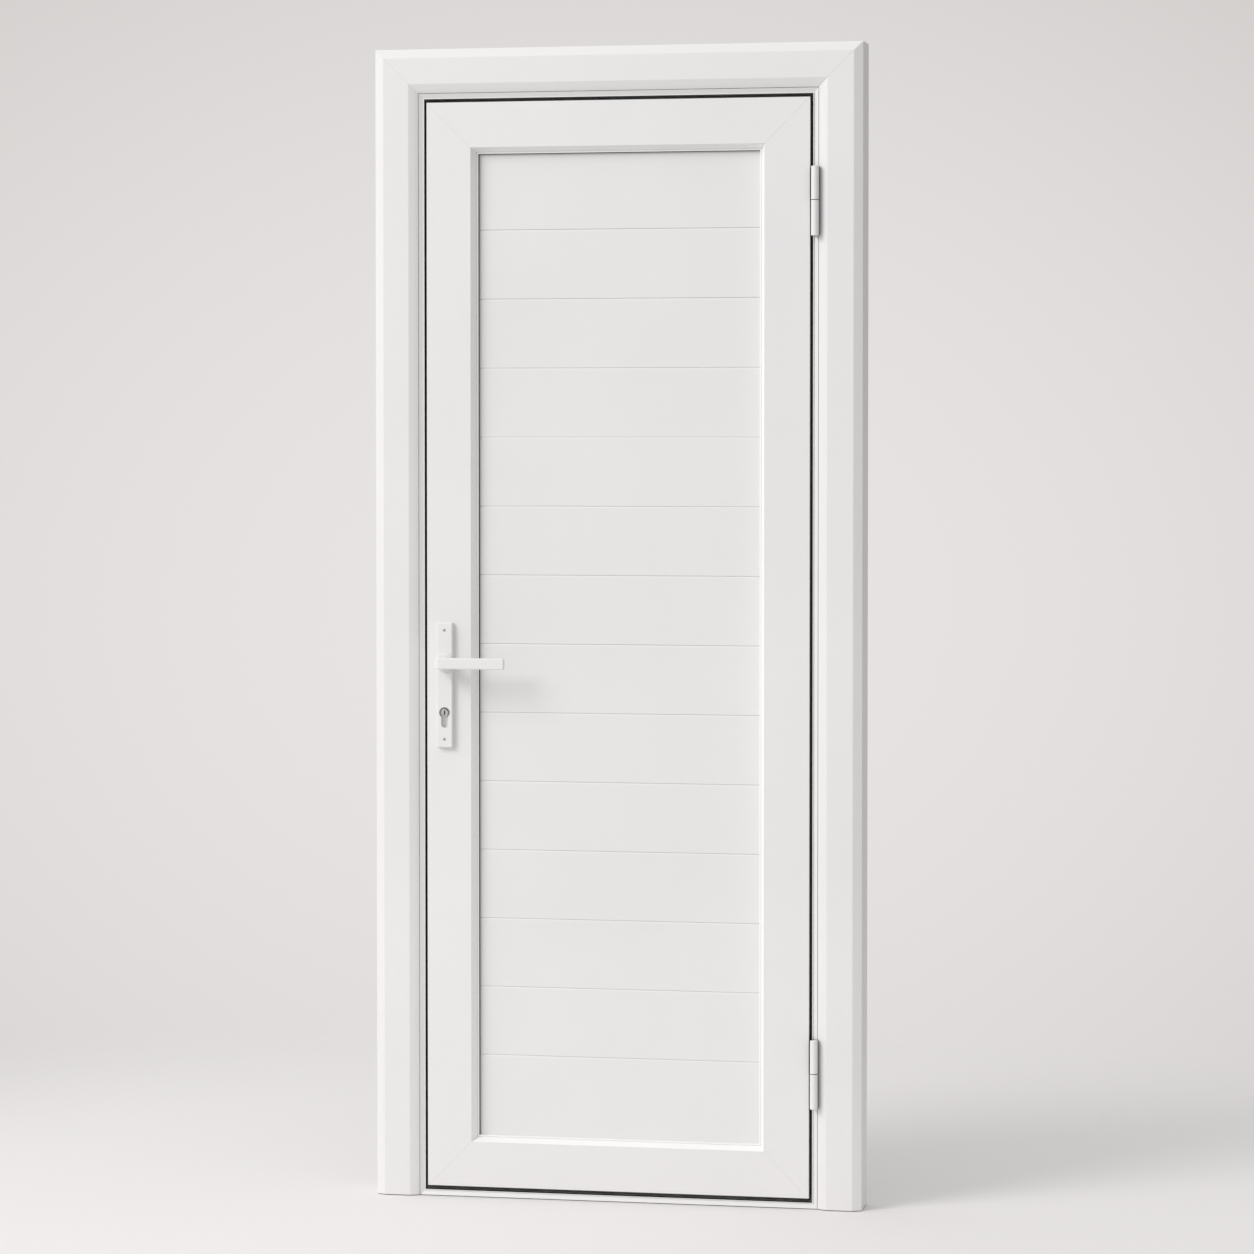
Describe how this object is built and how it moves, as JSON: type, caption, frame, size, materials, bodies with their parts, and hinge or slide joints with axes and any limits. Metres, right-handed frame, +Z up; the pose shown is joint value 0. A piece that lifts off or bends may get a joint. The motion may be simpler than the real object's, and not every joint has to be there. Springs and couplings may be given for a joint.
{
  "type": "pvc door set",
  "caption": "White PVC door set: mitred casing and frame with a low threshold, and a hinged leaf with a boarded panel, a lever handle and a profile cylinder.",
  "frame": {"origin": "on the floor, at the middle of the threshold's flat base", "axes": "+X to the right as seen from the front, +Y into the depth (the front faces -Y), +Z up"},
  "size_m": [0.9, 0.16, 2.1],
  "materials": {
    "white_pvc": "smooth white PVC extrusion, semi-gloss",
    "board_pvc": "smooth white PVC boards, satin",
    "white_hardware": "white powder coat on die-cast metal",
    "black_seal": "black rubber seal, matt",
    "nickel": "satin nickel plate",
    "steel": "zinc-plated steel"
  },
  "bodies": {
    "frame": {"casing_left": "white_pvc", "casing_right": "white_pvc", "casing_head": "white_pvc", "frame_jamb_left": "white_pvc", "frame_jamb_right": "white_pvc", "frame_head": "white_pvc", "threshold": "white_pvc", "strike_plate": "steel", "frame_seal": "black_seal", "hinge_frame_upper": "white_hardware", "hinge_frame_lower": "white_hardware", "hinge_pin_upper": "steel", "hinge_pin_lower": "steel"},
    "leaf": {"stile_lock": "white_pvc", "stile_hinge": "white_pvc", "rail_top": "white_pvc", "rail_bottom": "white_pvc", "bead_front_left": "white_pvc", "bead_front_right": "white_pvc", "bead_front_top": "white_pvc", "bead_front_bottom": "white_pvc", "bead_back_left": "white_pvc", "bead_back_right": "white_pvc", "bead_back_top": "white_pvc", "bead_back_bottom": "white_pvc", "panel_boards": "board_pvc", "panel_seals": "black_seal", "leaf_seal": "black_seal", "hinge_leaf_upper": "white_hardware", "hinge_leaf_lower": "white_hardware", "handle_plate_front": "white_hardware", "handle_plate_back": "white_hardware", "lock_cylinder": "nickel", "lock_plate": "steel", "latch_bolt": "nickel"},
    "lever": {"lever_front": "white_hardware", "lever_back": "white_hardware", "spindle": "steel"},
    "plug": {"key_plug": "nickel"}
  },
  "joints": [
    {"name": "door_swing", "type": "hinge", "parent": "frame", "child": "leaf", "pos_m": [0.364, -0.04, 0], "axis": [0, 0, 1], "range_deg": [0, 170]},
    {"name": "lever_turn", "type": "hinge", "parent": "leaf", "child": "lever", "pos_m": [-0.31875, 0, 0.981], "axis": [0, 1, 0], "range_deg": [0, 40], "stiffness_Nm_per_rad": 1.2, "springref_deg": -51.57},
    {"name": "key_turn", "type": "hinge", "parent": "leaf", "child": "plug", "pos_m": [-0.31875, 0, 0.889], "axis": [0, 1, 0], "continuous": true}
  ]
}
